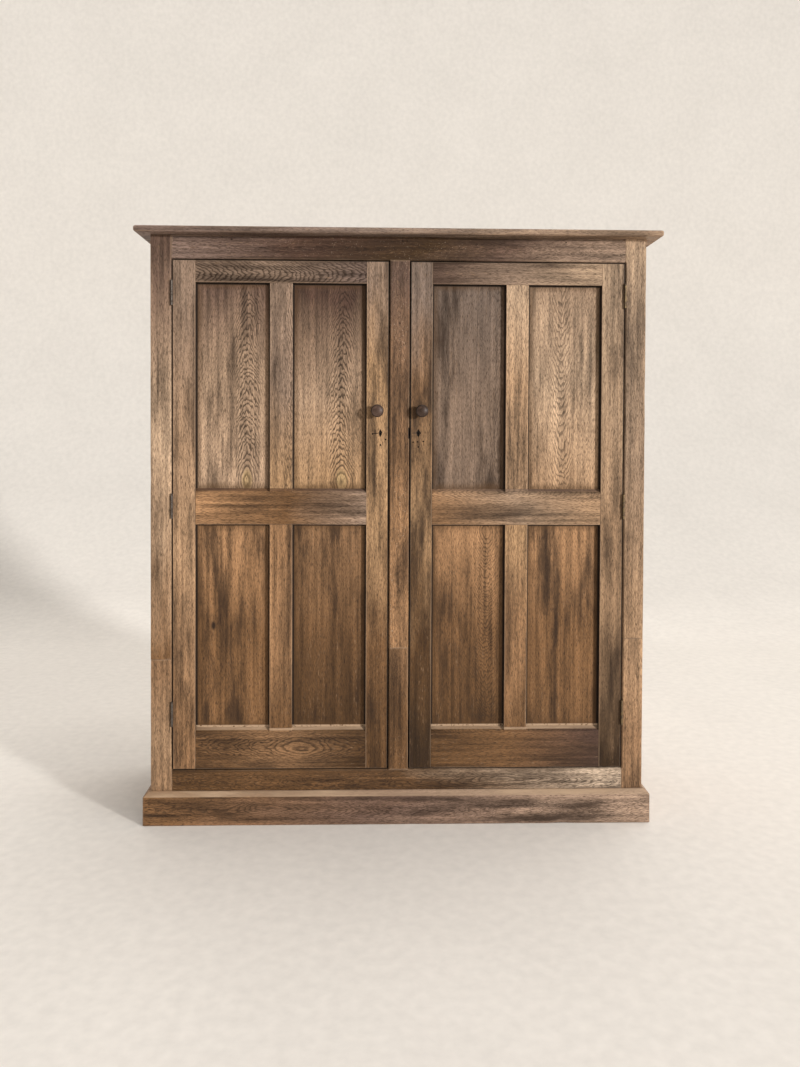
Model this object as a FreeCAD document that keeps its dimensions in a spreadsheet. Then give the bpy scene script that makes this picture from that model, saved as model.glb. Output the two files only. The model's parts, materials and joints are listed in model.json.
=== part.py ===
"""Two-door panelled oak cupboard: a free-standing carcass with a face frame, a plinth and a flat top.

Every physical piece is a separate sub-part. The frame is X to the right, Y from the front to the
back and Z up, in millimetres, with the origin at the centre of the whole cupboard's footprint.
Each door hangs on butt hinges at its outer edge and closes beside the centre post, and a cut lock
let into the back of its inner stile shoots a bolt into that post.
"""
import FreeCAD, Part
import Sketcher

import math
import os
from types import SimpleNamespace

DIMENSIONS = {
    # the whole cupboard
    "total_height": 1830,
    "carcass_width": 1524,
    "carcass_depth": 480,
    "board_thickness": 18,
    "side_thickness": 20,
    "back_thickness": 14,
    "back_gap": 1.5,
    "back_bottom": 60,
    # top board
    "top_thickness": 20,
    "top_overhang": 38,
    "top_end_overhang": 42,
    "top_nose_radius": 7,
    # plinth
    "plinth_height": 102,
    "plinth_thickness": 20,
    "plinth_chamfer": 13,
    # face frame
    "frame_thickness": 27,
    "frame_chamfer": 4,
    "stile_width": 64,
    "post_width": 62,
    "rail_top_height": 73,
    "rail_bottom_low": 80,
    "rail_bottom_high": 164,
    "splice_left": 507,
    "splice_post": 542,
    "splice_right": 570,
    # shelves
    "shelf_lower_top": 560,
    "shelf_spacing": 400,
    "shelf_setback": 70,
    "cleat_thickness": 20,
    "cleat_height": 30,
    "stop_thickness": 12,
    "stop_lap": 10,
    "stop_block_length": 60,
    # doors
    "door_gap": 2.5,
    "door_thickness": 26,
    "hinge_stile_width": 70,
    "lock_stile_width": 68,
    "muntin_width": 70,
    "door_top_rail_height": 69,
    "mid_rail_low": 924,
    "mid_rail_high": 1035,
    "bottom_rail_top": 294,
    "panel_thickness": 7,
    "panel_recess": 14,
    "groove_depth": 9,
    "tongue_length": 8,
    "sill_rise": 12,
    # hinges
    "hinge_height": 76,
    "hinge_top": 1633,
    "hinge_middle": 981,
    "hinge_bottom": 339,
    "pin_proud": 4,
    "pin_radius": 1.6,
    "pin_clearance": 0.05,
    "knuckle_radius": 3.4,
    "knuckle_gap": 0.4,
    "leaf_depth": 28,
    "leaf_thickness": 1.1,
    "hinge_screw_length": 18,
    "lock_screw_length": 9,
    "screw_shank_radius": 1.9,
    "screw_head_radius": 3.4,
    "screw_hole_play": 0.15,
    # knobs
    "knob_height": 1275,
    "knob_inset": 35,
    "knob_radius": 19,
    "knob_length": 30,
    "knob_neck_radius": 8.5,
    "knob_spigot_radius": 6,
    "knob_spigot_length": 16,
    "knob_hole_play": 0.1,
    # locks
    "lock_height": 1207,
    "lock_inset": 25,
    "lock_case_width": 54,
    "lock_case_height": 70,
    "lock_case_depth": 13,
    "keyhole_radius": 4,
    "keyhole_slot_width": 3.2,
    "keyhole_slot_height": 11,
    "case_keyhole_depth": 9,
    "bolt_low": 7,
    "bolt_height": 16,
    "bolt_thickness": 7,
    "bolt_length": 40,
    "bolt_play": 0.4,
    "bolt_travel": 10,
}
BACK_BOARDS = 6
SHELVES = ("lower", "middle", "upper")
SIDES = (("left", -1), ("right", 1))
TURN_TO_Y = FreeCAD.Rotation(FreeCAD.Vector(1, 0, 0), -90)
TURN_TO_X = FreeCAD.Rotation(FreeCAD.Vector(0, 1, 0), 90)


class Size:
    """A length that knows both its value and the sheet expression that gives it."""

    def __init__(self, value, text):
        self.value = value
        self.text = text

    def __add__(self, other):
        other = size(other)
        return Size(self.value + other.value, f"({self.text} + {other.text})")

    def __sub__(self, other):
        other = size(other)
        return Size(self.value - other.value, f"({self.text} - {other.text})")

    def __mul__(self, other):
        other = size(other)
        return Size(self.value * other.value, f"{self.text} * {other.text}")

    def __truediv__(self, other):
        other = size(other)
        return Size(self.value / other.value, f"{self.text} / {other.text}")

    def __neg__(self):
        return Size(-self.value, f"(-1 * {self.text})")

    __radd__ = __add__
    __rmul__ = __mul__


def size(number):
    """The number itself as a Size, or the Size unchanged."""
    if isinstance(number, Size):
        return number
    return Size(float(number), f"({float(number)})")


def write_sheet(document):
    """Put the driving dimensions in the spreadsheet and return them as named sizes."""
    sheet = document.addObject("Spreadsheet::Sheet", "Dims")
    for row, (alias, value) in enumerate(DIMENSIONS.items(), start=1):
        sheet.set(f"A{row}", alias)
        sheet.set(f"B{row}", str(value))
        sheet.setAlias(f"B{row}", alias)
    document.recompute()
    return SimpleNamespace(**{
        alias: Size(float(value), f"Dims.{alias}") for alias, value in DIMENSIONS.items()
    })


doc = FreeCAD.newDocument("Cupboard")
dim = write_sheet(doc)
nodes = []

# Planes that many pieces share.
half_width = dim.carcass_width / 2
front = (dim.top_overhang - dim.carcass_depth) / 2
back = (dim.top_overhang + dim.carcass_depth) / 2
frame_back = front + dim.frame_thickness
carcass_top = dim.total_height - dim.top_thickness
opening_inner = dim.post_width / 2
opening_outer = half_width - dim.stile_width
rail_top_low = carcass_top - dim.rail_top_height
inside_back = back - dim.back_thickness
inside_half = half_width - dim.side_thickness
frame_depth = (front, frame_back)

# Door planes. Distances across a door are measured outwards from the cupboard's centre line.
lock_edge = opening_inner + dim.door_gap
hinge_edge = opening_outer - dim.door_gap
lock_stile_edge = lock_edge + dim.lock_stile_width
hinge_stile_edge = hinge_edge - dim.hinge_stile_width
door_middle = (lock_stile_edge + hinge_stile_edge) / 2
muntin_span = (door_middle - dim.muntin_width / 2, door_middle + dim.muntin_width / 2)
door_low = dim.rail_bottom_high + dim.door_gap
door_high = rail_top_low - dim.door_gap
door_top_rail_low = door_high - dim.door_top_rail_height
door_back = front + dim.door_thickness
door_depth = (front, door_back)
groove = (front + dim.panel_recess, front + dim.panel_recess + dim.panel_thickness)
panel_columns = (("inner", (lock_stile_edge, muntin_span[0])), ("outer", (muntin_span[1], hinge_stile_edge)))
panel_rows = (
    ("lower", (dim.bottom_rail_top, dim.mid_rail_low)),
    ("upper", (dim.mid_rail_high, door_top_rail_low)),
)

# Hinge and lock planes.
hinge_levels = (dim.hinge_bottom, dim.hinge_middle, dim.hinge_top)
pin_out = opening_outer - dim.door_gap / 2
pin_depth = front - dim.pin_proud
leaf_back = pin_depth + dim.leaf_depth
lock_depth = (door_back - dim.lock_case_depth, door_back)
lock_centre = lock_edge + dim.lock_inset
bolt_span = (dim.lock_height + dim.bolt_low, dim.lock_height + dim.bolt_low + dim.bolt_height)
bolt_front = lock_depth[0] + (dim.lock_case_depth - dim.bolt_thickness) / 2
bolt_depth = (bolt_front, bolt_front + dim.bolt_thickness)


def keep(piece, label):
    """Name a finished sub-part and add it to those that are written."""
    piece.Label = label
    nodes.append(piece)
    return piece


def across(side, span):
    """A span measured outwards from the centre line, on the left (-1) or the right (1)."""
    ends = (size(span[0]) * side, size(span[1]) * side)
    return ends if side > 0 else (ends[1], ends[0])


def widened(span, play):
    """A span with play added at both ends."""
    return (size(span[0]) - play, size(span[1]) + play)


def box(x_span, y_span, z_span, name="Block"):
    """A rectangular block between two planes along each axis."""
    block = doc.addObject("Part::Box", name)
    sides = zip(("Length", "Width", "Height"), "xyz", (x_span, y_span, z_span))
    for side, axis, (low, high) in sides:
        block.setExpression(side, (size(high) - size(low)).text)
        block.setExpression(f"Placement.Base.{axis}", size(low).text)
    return block


def place(piece, x, y, z):
    """Bind a piece's position to the sheet."""
    for axis, distance in zip("xyz", (x, y, z)):
        piece.setExpression(f"Placement.Base.{axis}", size(distance).text)


def rod(position, radius, length, rotation=None):
    """A cylinder that starts at the position and runs along Z, or along the rotated Z."""
    cylinder = doc.addObject("Part::Cylinder", "Rod")
    if rotation:
        cylinder.Placement.Rotation = rotation
    cylinder.setExpression("Radius", size(radius).text)
    cylinder.setExpression("Height", size(length).text)
    place(cylinder, *position)
    return cylinder


def cone(position, start_radius, end_radius, length, rotation):
    """A cone frustum that starts at the position."""
    frustum = doc.addObject("Part::Cone", "Frustum")
    frustum.Placement.Rotation = rotation
    frustum.setExpression("Radius1", size(start_radius).text)
    frustum.setExpression("Radius2", size(end_radius).text)
    frustum.setExpression("Height", size(length).text)
    place(frustum, *position)
    return frustum


def fused(pieces):
    """One solid out of several that touch."""
    union = doc.addObject("Part::MultiFuse", "Union")
    union.Shapes = pieces
    return union


def carved(base, tools):
    """The base with every tool's space taken out, one after the other."""
    for tool in tools:
        cut = doc.addObject("Part::Cut", "Carved")
        cut.Base = base
        cut.Tool = tool
        base = cut
    return base


def group(pieces):
    """Separate solids that share one node."""
    bundle = doc.addObject("Part::Compound", "Group")
    bundle.Links = pieces
    return bundle


def sill_tool(x_span, top):
    """The sloping space cut from a rail's upper front edge, so that it sheds dust and water."""
    wedge = doc.addObject("Part::Wedge", "SillSpace")
    sizes = {
        "Xmin": 0, "X2min": 0, "Xmax": x_span[1] - x_span[0], "X2max": x_span[1] - x_span[0],
        "Ymin": 0, "Ymax": dim.panel_recess,
        "Zmin": 0, "Zmax": dim.sill_rise + 1,
        "Z2min": dim.sill_rise, "Z2max": dim.sill_rise + 1,
    }
    for name, value in sizes.items():
        wedge.setExpression(name, size(value).text)
    place(wedge, x_span[0], front, top - dim.sill_rise)
    return wedge


def chamfer_tool(corner, length, along):
    """A square bar turned by 45 degrees about an edge, which takes off the frame's small chamfer."""
    bar = doc.addObject("Part::Box", "ChamferBar")
    leg = dim.frame_chamfer
    width = leg * math.sqrt(2)
    x, z = corner
    if along == "z":
        bar.Placement.Rotation = FreeCAD.Rotation(FreeCAD.Vector(0, 0, 1), 45)
        sides = {"Length": width, "Width": width, "Height": length}
    else:
        bar.Placement.Rotation = FreeCAD.Rotation(FreeCAD.Vector(1, 0, 0), 45)
        sides = {"Length": length, "Width": width, "Height": width}
    for name, value in sides.items():
        bar.setExpression(name, value.text)
    if along == "z":
        place(bar, x, front - leg, z)
    else:
        place(bar, x, front, z - leg)
    return bar


def plane_of(body, role):
    """One of the body's own origin planes."""
    return next(item for item in body.Origin.OriginFeatures if item.Role == role)


def new_sketch(body, name, role="XY_Plane"):
    """A sketch on one of the body's origin planes."""
    sketch = body.newObject("Sketcher::SketchObject", name)
    sketch.AttachmentSupport = [(plane_of(body, role), "")]
    sketch.MapMode = "FlatFace"
    return sketch


def arc_between(start, end, radius):
    """The arc from start to end that bulges to the right for a positive radius, else to the left."""
    chord = end - start
    half = chord.Length / 2
    rise = abs(radius) - math.sqrt(radius * radius - half * half)
    outward = FreeCAD.Vector(chord.y, -chord.x, 0).normalize() * math.copysign(rise, radius)
    return Part.Arc(start, (start + end) / 2 + outward, end)


def outline(sketch, corners, arcs=None):
    """A closed outline whose corners are bound to the sheet; arcs gives a side's signed radius."""
    arcs = arcs or {}
    points = [FreeCAD.Vector(size(u).value, size(v).value, 0) for u, v in corners]
    for index, start in enumerate(points):
        end = points[(index + 1) % len(points)]
        if index in arcs:
            curve = sketch.addGeometry(arc_between(start, end, size(arcs[index]).value))
            turned = (sketch.getPoint(curve, 1) - start).Length > (sketch.getPoint(curve, 2) - start).Length
        else:
            curve = sketch.addGeometry(Part.LineSegment(start, end))
            turned = False
        ends = ((curve, 2), (curve, 1)) if turned else ((curve, 1), (curve, 2))
        if index:
            sketch.addConstraint(Sketcher.Constraint("Coincident", *last, *ends[0]))
        else:
            first = ends[0]
        last = ends[1]
        for kind, distance in zip(("DistanceX", "DistanceY"), corners[index]):
            number = sketch.addConstraint(
                Sketcher.Constraint(kind, -1, 1, *ends[0], size(distance).value)
            )
            sketch.setExpression(f"Constraints[{number}]", size(distance).text)
        if index in arcs:
            radius = size(arcs[index])
            number = sketch.addConstraint(Sketcher.Constraint("Radius", curve, abs(radius.value)))
            sketch.setExpression(f"Constraints[{number}]", f"abs({radius.text})")
    sketch.addConstraint(Sketcher.Constraint("Coincident", *last, *first))


def dressed_edges(body, dress, amount, wanted):
    """Fillet or chamfer the body's edges that the test accepts."""
    doc.recompute()
    base = body.Tip
    names = [f"Edge{number}" for number, edge in enumerate(base.Shape.Edges, start=1) if wanted(edge)]
    feature = body.newObject(f"PartDesign::{dress}", dress)
    feature.Base = (base, names)
    feature.setExpression("Radius" if dress == "Fillet" else "Size", amount.text)
    body.Tip = feature
    base.Visibility = False


def padded(body, corners, height):
    """A prism on the given plan outline."""
    sketch = new_sketch(body, "Plan")
    outline(sketch, corners)
    pad = body.newObject("PartDesign::Pad", "Pad")
    pad.Profile = sketch
    pad.setExpression("Length", size(height).text)


def lies_at(edge, test):
    """True if both ends of a straight edge pass the test."""
    return len(edge.Vertexes) == 2 and all(test(vertex.Point) for vertex in edge.Vertexes)


def near(first, second):
    """True if two distances are the same within a hundredth of a millimetre."""
    return abs(first - second) < 0.01


# The carcass


def build_plinth():
    """Three plinth boards, mitred at the front corners, each with a chamfered upper outer edge."""
    out = half_width + dim.plinth_thickness
    outer_front = front - dim.plinth_thickness
    plans = {
        "plinth_front": ((-out, outer_front), (out, outer_front), (half_width, front), (-half_width, front)),
        "plinth_left": ((-out, outer_front), (-half_width, front), (-half_width, back), (-out, back)),
        "plinth_right": ((out, outer_front), (out, back), (half_width, back), (half_width, front)),
    }
    outer_edges = {
        "plinth_front": lambda point: near(point.y, outer_front.value),
        "plinth_left": lambda point: near(point.x, -out.value),
        "plinth_right": lambda point: near(point.x, out.value),
    }
    for label, plan in plans.items():
        body = doc.addObject("PartDesign::Body", "PlinthBoard")
        padded(body, plan, dim.plinth_height)
        outer = outer_edges[label]
        dressed_edges(body, "Chamfer", dim.plinth_chamfer, lambda edge: lies_at(
            edge, lambda point: near(point.z, dim.plinth_height.value) and outer(point)))
        keep(body, label)


def build_top():
    """The flat top board, rounded on its front and end edges."""
    out = half_width + dim.top_end_overhang
    nose = front - dim.top_overhang
    body = doc.addObject("PartDesign::Body", "TopBoard")
    padded(body, ((-out, nose), (out, nose), (out, back), (-out, back)), dim.top_thickness)
    dressed_edges(body, "Fillet", dim.top_nose_radius, lambda edge: (
        lies_at(edge, lambda point: near(point.y, nose.value))
        or lies_at(edge, lambda point: near(abs(point.x), out.value))) and near(
            edge.Vertexes[0].Point.z, edge.Vertexes[-1].Point.z))
    place(body, 0, 0, carcass_top)
    keep(body, "top_board")


def build_carcass():
    """Sides, back boards, bottom board and shelves with their cleats."""
    inside = (-inside_half, inside_half)
    behind_frame = (frame_back, inside_back)
    for side, sign in SIDES:
        keep(box(across(sign, (inside_half, half_width)), (frame_back, back), (0, carcass_top)), f"side_{side}")
    pitch = inside_half * 2 / BACK_BOARDS
    boards = []
    for number in range(BACK_BOARDS):
        low = pitch * number - inside_half
        span = widened((low, low + pitch), -dim.back_gap / 2)
        boards.append(box(span, (inside_back, back), (dim.back_bottom, carcass_top)))
    keep(group(boards), "back_boards")
    bottom = (dim.rail_bottom_high - dim.board_thickness, dim.rail_bottom_high)
    keep(box(inside, behind_frame, bottom), "bottom_board")

    shelf_front = front + dim.shelf_setback
    side_cleats = []
    back_cleats = []
    for number, level in enumerate(SHELVES):
        top = dim.shelf_lower_top + dim.shelf_spacing * number
        under = top - dim.board_thickness
        keep(box(inside, (shelf_front, inside_back), (under, top)), f"shelf_{level}")
        cleat_height = (under - dim.cleat_height, under)
        cleat_end = inside_half - dim.cleat_thickness
        for _, sign in SIDES:
            span = across(sign, (cleat_end, inside_half))
            side_cleats.append(box(span, (shelf_front, inside_back), cleat_height))
        cleat_depth = (inside_back - dim.cleat_thickness, inside_back)
        back_cleats.append(box((-cleat_end, cleat_end), cleat_depth, cleat_height))
    keep(group(side_cleats), "shelf_side_cleats")
    keep(group(back_cleats), "shelf_back_cleats")


def build_face_frame():
    """Stiles, centre post and rails; the stiles and the post each have a spliced lower end."""
    opening_height = rail_top_low - dim.rail_bottom_high
    splices = {"left": dim.splice_left, "right": dim.splice_right}
    for side, sign in SIDES:
        span = across(sign, (opening_outer, half_width))
        edge = opening_outer * sign
        chamfer = (edge, dim.rail_bottom_high)
        for label, z_span in (
            (f"stile_{side}", (splices[side], carcass_top)),
            (f"stile_{side}_foot", (0, splices[side])),
        ):
            tool = chamfer_tool(chamfer, opening_height, "z")
            keep(carved(box(span, frame_depth, z_span), [tool]), label)
    post = (-opening_inner, opening_inner)
    for label, z_span in (
        ("centre_post", (dim.splice_post, rail_top_low)),
        ("centre_post_foot", (dim.rail_bottom_high, dim.splice_post)),
    ):
        tools = [
            chamfer_tool((opening_inner * sign, dim.rail_bottom_high), opening_height, "z")
            for _, sign in SIDES
        ]
        if label == "centre_post":
            mortise = widened(bolt_span, dim.bolt_play)
            for _, sign in SIDES:
                reach = across(sign, (opening_inner - dim.bolt_travel, opening_inner + 1))
                tools.append(box(reach, widened(bolt_depth, dim.bolt_play), mortise))
        keep(carved(box(post, frame_depth, z_span), tools), label)
    between = (-opening_outer, opening_outer)
    for label, z_span, edge in (
        ("frame_top_rail", (rail_top_low, carcass_top), rail_top_low),
        ("frame_bottom_rail", (dim.rail_bottom_low, dim.rail_bottom_high), dim.rail_bottom_high),
    ):
        tools = [
            chamfer_tool((across(sign, (opening_inner, opening_outer))[0], edge),
                         opening_outer - opening_inner, "x")
            for _, sign in SIDES
        ]
        keep(carved(box(between, frame_depth, z_span), tools), label)


def build_door_stops():
    """A stop strip behind the top rail and a stop block on the bottom board, one pair for each door."""
    stop_depth = (frame_back, frame_back + dim.stop_thickness)
    top_span = (rail_top_low - dim.stop_lap, rail_top_low + dim.stop_lap)
    block_height = (dim.rail_bottom_high, dim.rail_bottom_high + dim.stop_lap)
    stops = []
    for _, sign in SIDES:
        stops.append(box(across(sign, (lock_edge, hinge_edge)), stop_depth, top_span))
        stops.append(box(across(sign, (lock_edge, lock_edge + dim.stop_block_length)), stop_depth, block_height))
    keep(group(stops), "door_stops")


# The doors


def build_stiles(side, sign):
    """The two upright members of a door, grooved for the panels and the rails' tongues."""
    height = (door_low, door_high)
    hinge_groove = across(sign, (hinge_stile_edge, hinge_stile_edge + dim.groove_depth))
    hinge_stile = box(across(sign, (hinge_stile_edge, hinge_edge)), door_depth, height)
    keep(carved(hinge_stile, [box(hinge_groove, groove, height)]), f"{side}_door_hinge_stile")

    lock_groove = across(sign, (lock_stile_edge - dim.groove_depth, lock_stile_edge))
    lock_stile = box(across(sign, (lock_edge, lock_stile_edge)), door_depth, height)
    pocket = box(
        across(sign, (lock_edge, lock_edge + dim.lock_case_width)),
        lock_depth,
        (dim.lock_height - dim.lock_case_height / 2, dim.lock_height + dim.lock_case_height / 2),
    )
    knob_hole = rod(
        ((lock_edge + dim.knob_inset) * sign, front, dim.knob_height),
        dim.knob_spigot_radius + dim.knob_hole_play, dim.knob_spigot_length + 1, TURN_TO_Y,
    )
    tools = [box(lock_groove, groove, height), pocket, knob_hole]
    tools += keyhole_tools(sign, front, dim.door_thickness)
    keep(carved(lock_stile, tools), f"{side}_door_lock_stile")


def keyhole_tools(sign, start, depth):
    """The round and the slot that make a keyhole."""
    centre = lock_centre * sign
    round_hole = rod((centre, start, dim.lock_height), dim.keyhole_radius, depth, TURN_TO_Y)
    half_slot = dim.keyhole_slot_width / 2
    slot_height = (dim.lock_height - dim.keyhole_slot_height, dim.lock_height)
    slot = box((centre - half_slot, centre + half_slot), (start, start + depth), slot_height)
    return [round_hole, slot]


def build_rails(side, sign):
    """Top, middle and bottom rails, with a sloping sill under each panel."""
    rail = (lock_stile_edge, hinge_stile_edge)
    tongued = widened(rail, dim.tongue_length)
    rails = {
        "bottom": ((door_low, dim.bottom_rail_top), False, True),
        "mid": ((dim.mid_rail_low, dim.mid_rail_high), True, True),
        "top": ((door_top_rail_low, door_high), True, False),
    }
    for name, ((low, high), groove_below, groove_above) in rails.items():
        member = fused([
            box(across(sign, rail), door_depth, (low, high)),
            box(across(sign, tongued), groove, (low, high)),
        ])
        tools = []
        if groove_below:
            tools.append(box(across(sign, tongued), groove, (low, low + dim.groove_depth)))
        if groove_above:
            tools.append(box(across(sign, tongued), groove, (high - dim.groove_depth, high)))
            tools += [sill_tool(across(sign, span), high) for _, span in panel_columns]
        keep(carved(member, tools), f"{side}_door_{name}_rail")


def build_muntins_and_panels(side, sign):
    """The short uprights between the rails, and the four flat panels in their grooves."""
    for level, (low, high) in panel_rows:
        member = fused([
            box(across(sign, muntin_span), door_depth, (low, high)),
            box(across(sign, muntin_span), groove, widened((low, high), dim.tongue_length)),
        ])
        grooves = [
            (muntin_span[0], muntin_span[0] + dim.groove_depth),
            (muntin_span[1] - dim.groove_depth, muntin_span[1]),
        ]
        reach = widened((low, high), dim.groove_depth)
        tools = [box(across(sign, span), groove, reach) for span in grooves]
        keep(carved(member, tools), f"{side}_door_{level}_muntin")
        for column, span in panel_columns:
            panel = box(
                across(sign, widened(span, dim.tongue_length)),
                groove,
                widened((low, high), dim.tongue_length),
            )
            keep(panel, f"{side}_door_{level}_{column}_panel")


# The hardware


def build_knob(side, sign):
    """A turned knob: a domed head on the left door, and a dished head with a ring on the right."""
    head, neck, spigot = dim.knob_radius, dim.knob_neck_radius, dim.knob_spigot_radius
    length = dim.knob_length
    corners = [
        (0, dim.knob_spigot_length), (0, -length), (head * 0.55, -length * 0.96), (head, -length * 0.68),
        (head * 0.92, -length * 0.55), (neck, -length * 0.3), (neck * 1.25, -length * 0.08),
        (neck * 1.25, 0), (spigot, 0), (spigot, dim.knob_spigot_length),
    ]
    arcs = {1: -length * 1.6, 2: -length * 0.5, 4: length * 0.6}
    if side == "right":
        ring = (head * 0.7, -length * 0.97)
        corners[1:3] = [(0, -length * 0.84), (head * 0.5, -length * 0.88), (head * 0.5, -length * 0.92), ring]
        arcs = {1: length * 1.6, 4: -length * 0.45, 6: length * 0.6}
    body = doc.addObject("PartDesign::Body", "Knob")
    sketch = new_sketch(body, "HalfProfile")
    outline(sketch, corners, arcs)
    turned = body.newObject("PartDesign::Revolution", "Turned")
    turned.Profile = sketch
    turned.ReferenceAxis = (sketch, ["V_Axis"])
    turned.Angle = 360
    place(body, (lock_edge + dim.knob_inset) * sign, front, dim.knob_height)
    keep(body, f"{side}_knob")


def screw(position, length, away):
    """A countersunk wood screw whose head faces opposite to the way it points, with a driver slot."""
    rotation, axis = away
    head_length = dim.leaf_thickness
    slot_width = dim.screw_shank_radius / 4
    reach = dim.screw_head_radius
    shank = rod(position, dim.screw_shank_radius, length, rotation)
    head = cone(position, reach, dim.screw_shank_radius, head_length, rotation)
    x, y, z = position
    slot_depth = head_length / 2
    spans = {
        "x": ((x, x + slot_depth), widened((y, y), slot_width), widened((z, z), reach)),
        "-x": ((x - slot_depth, x), widened((y, y), slot_width), widened((z, z), reach)),
        "-y": (widened((x, x), slot_width), (y - slot_depth, y), widened((z, z), reach)),
    }
    return carved(fused([shank, head]), [box(*spans[axis])])


def pointing(sign):
    """The rotation and the name of the way along X that a screw points."""
    if sign > 0:
        return (TURN_TO_X, "x")
    return (FreeCAD.Rotation(FreeCAD.Vector(0, 1, 0), -90), "-x")


def screw_places(level):
    """Depth and height of a leaf's three screws."""
    near_pin = pin_depth + dim.leaf_depth * 0.42
    far = pin_depth + dim.leaf_depth * 0.72
    reach = dim.hinge_height * 0.36
    return ((near_pin, level - reach), (far, level), (near_pin, level + reach))


def build_leaf(sign, level, of_door):
    """One hinge leaf: a plate with its share of the five knuckles, bored for the pin and the screws."""
    low = level - dim.hinge_height / 2
    slack = (dim.door_gap - dim.leaf_thickness * 2) / 2
    if of_door:
        plate = (pin_out - slack - dim.leaf_thickness, pin_out - slack)
        taken = (0, 2, 4)
    else:
        plate = (pin_out + slack, pin_out + slack + dim.leaf_thickness)
        taken = (1, 3)
    body = fused([
        box(across(sign, plate), (pin_depth, leaf_back), (low, low + dim.hinge_height)),
        rod((pin_out * sign, pin_depth, low), dim.knuckle_radius, dim.hinge_height),
    ])
    knuckle = dim.hinge_height / 5
    tools = [rod((pin_out * sign, pin_depth, low), dim.pin_radius + dim.pin_clearance, dim.hinge_height)]
    clear = dim.knuckle_radius + dim.knuckle_gap
    for number in taken:
        span = (low + knuckle * number, low + knuckle * (number + 1))
        tools.append(box(
            widened((pin_out * sign, pin_out * sign), clear),
            (pin_depth - clear, pin_depth + clear),
            widened(span, dim.knuckle_gap / 2),
        ))
    rotation, _ = pointing(-sign if of_door else sign)
    play = dim.screw_hole_play
    face = plate[1] if of_door else plate[0]
    for y, z in screw_places(level):
        tools.append(cone((face * sign, y, z), dim.screw_head_radius + play,
                          dim.screw_shank_radius + play, dim.leaf_thickness, rotation))
    return carved(body, tools), face


def build_hinges():
    """Three butt hinges on each door: leaves on the frame and the door, pins and screws."""
    pins = []
    frame_screws = []
    door_screws = {}
    for side, sign in SIDES:
        frame_leaves = []
        door_leaves = []
        door_screws[side] = []
        for level in hinge_levels:
            frame_leaf, frame_face = build_leaf(sign, level, False)
            door_leaf, door_face = build_leaf(sign, level, True)
            frame_leaves.append(frame_leaf)
            door_leaves.append(door_leaf)
            length = dim.hinge_screw_length
            for y, z in screw_places(level):
                frame_screws.append(screw((frame_face * sign, y, z), length, pointing(sign)))
                door_screws[side].append(screw((door_face * sign, y, z), length, pointing(-sign)))
            pins.append(rod((pin_out * sign, pin_depth, level - dim.hinge_height / 2),
                            dim.pin_radius, dim.hinge_height))
        keep(group(frame_leaves), f"{side}_frame_hinge_leaves")
        keep(group(door_leaves), f"{side}_door_hinge_leaves")
    keep(group(pins), "hinge_pins")
    keep(group(frame_screws), "frame_hinge_screws")
    return door_screws


def build_lock(side, sign, screws):
    """A cut lock: its case, its sliding bolt with the key's notch, and the screws of the door."""
    half_height = dim.lock_case_height / 2
    case_height = (dim.lock_height - half_height, dim.lock_height + half_height)
    case = box(across(sign, (lock_edge, lock_edge + dim.lock_case_width)), lock_depth, case_height)
    channel = box(
        across(sign, (lock_edge - 1, lock_edge + dim.bolt_length + dim.bolt_play)),
        widened(bolt_depth, dim.bolt_play), widened(bolt_span, dim.bolt_play),
    )
    way_in = keyhole_tools(sign, lock_depth[0], dim.case_keyhole_depth)
    screw_x = lock_edge + dim.lock_case_width - dim.screw_head_radius * 1.8
    corners = [(screw_x * sign, door_back, dim.lock_height + half_height * share) for share in (-0.75, 0.75)]
    length = dim.lock_case_depth + dim.lock_screw_length / 2
    turn = FreeCAD.Rotation(FreeCAD.Vector(1, 0, 0), 90)
    play = dim.screw_hole_play
    holes = []
    for x, y, z in corners:
        holes.append(rod((x, y, z), dim.screw_shank_radius + play, dim.lock_case_depth, turn))
        holes.append(cone((x, y, z), dim.screw_head_radius + play,
                          dim.screw_shank_radius + play, dim.leaf_thickness, turn))
        screws.append(screw((x, y, z), length, (turn, "-y")))
    keep(carved(case, [channel, *way_in, *holes]), f"{side}_lock_case")
    bolt = box(across(sign, (lock_edge, lock_edge + dim.bolt_length)), bolt_depth, bolt_span)
    notch = box(
        widened((lock_centre * sign, lock_centre * sign), dim.keyhole_radius),
        bolt_depth, (bolt_span[0], bolt_span[0] + dim.bolt_height / 4),
    )
    keep(carved(bolt, [notch]), f"{side}_lock_bolt")
    keep(group(screws), f"{side}_door_screws")


def build_door(side, sign):
    """All the wood of one door and its knob."""
    build_stiles(side, sign)
    build_rails(side, sign)
    build_muntins_and_panels(side, sign)
    build_knob(side, sign)


def check_document():
    """Stop before writing if any object failed or any sub-part has no valid solid."""
    doc.recompute()
    failed = [item.Name for item in doc.Objects if {"Invalid", "Error"} & set(item.State)]
    if failed:
        raise RuntimeError(f"failed objects: {failed}")
    for node in nodes:
        if node.Shape.isNull() or not node.Shape.isValid() or not node.Shape.Solids:
            raise RuntimeError(f"no valid solid in {node.Label}")


def write_parts():
    """Write each sub-part to its own file."""
    os.makedirs("parts", exist_ok=True)
    for node in nodes:
        node.Shape.exportStep(f"parts/{node.Label}.step")


build_plinth()
build_top()
build_carcass()
build_face_frame()
build_door_stops()
hinge_screws = build_hinges()
for door_side, door_sign in SIDES:
    build_door(door_side, door_sign)
    build_lock(door_side, door_sign, hinge_screws[door_side])
check_document()
write_parts()
print(len(nodes), "sub-parts written")
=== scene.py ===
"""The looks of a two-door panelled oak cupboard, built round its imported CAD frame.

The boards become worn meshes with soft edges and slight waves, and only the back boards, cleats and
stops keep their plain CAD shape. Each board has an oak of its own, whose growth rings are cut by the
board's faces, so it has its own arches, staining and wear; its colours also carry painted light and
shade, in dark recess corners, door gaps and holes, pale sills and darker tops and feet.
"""
import json
import math
import random

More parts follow.
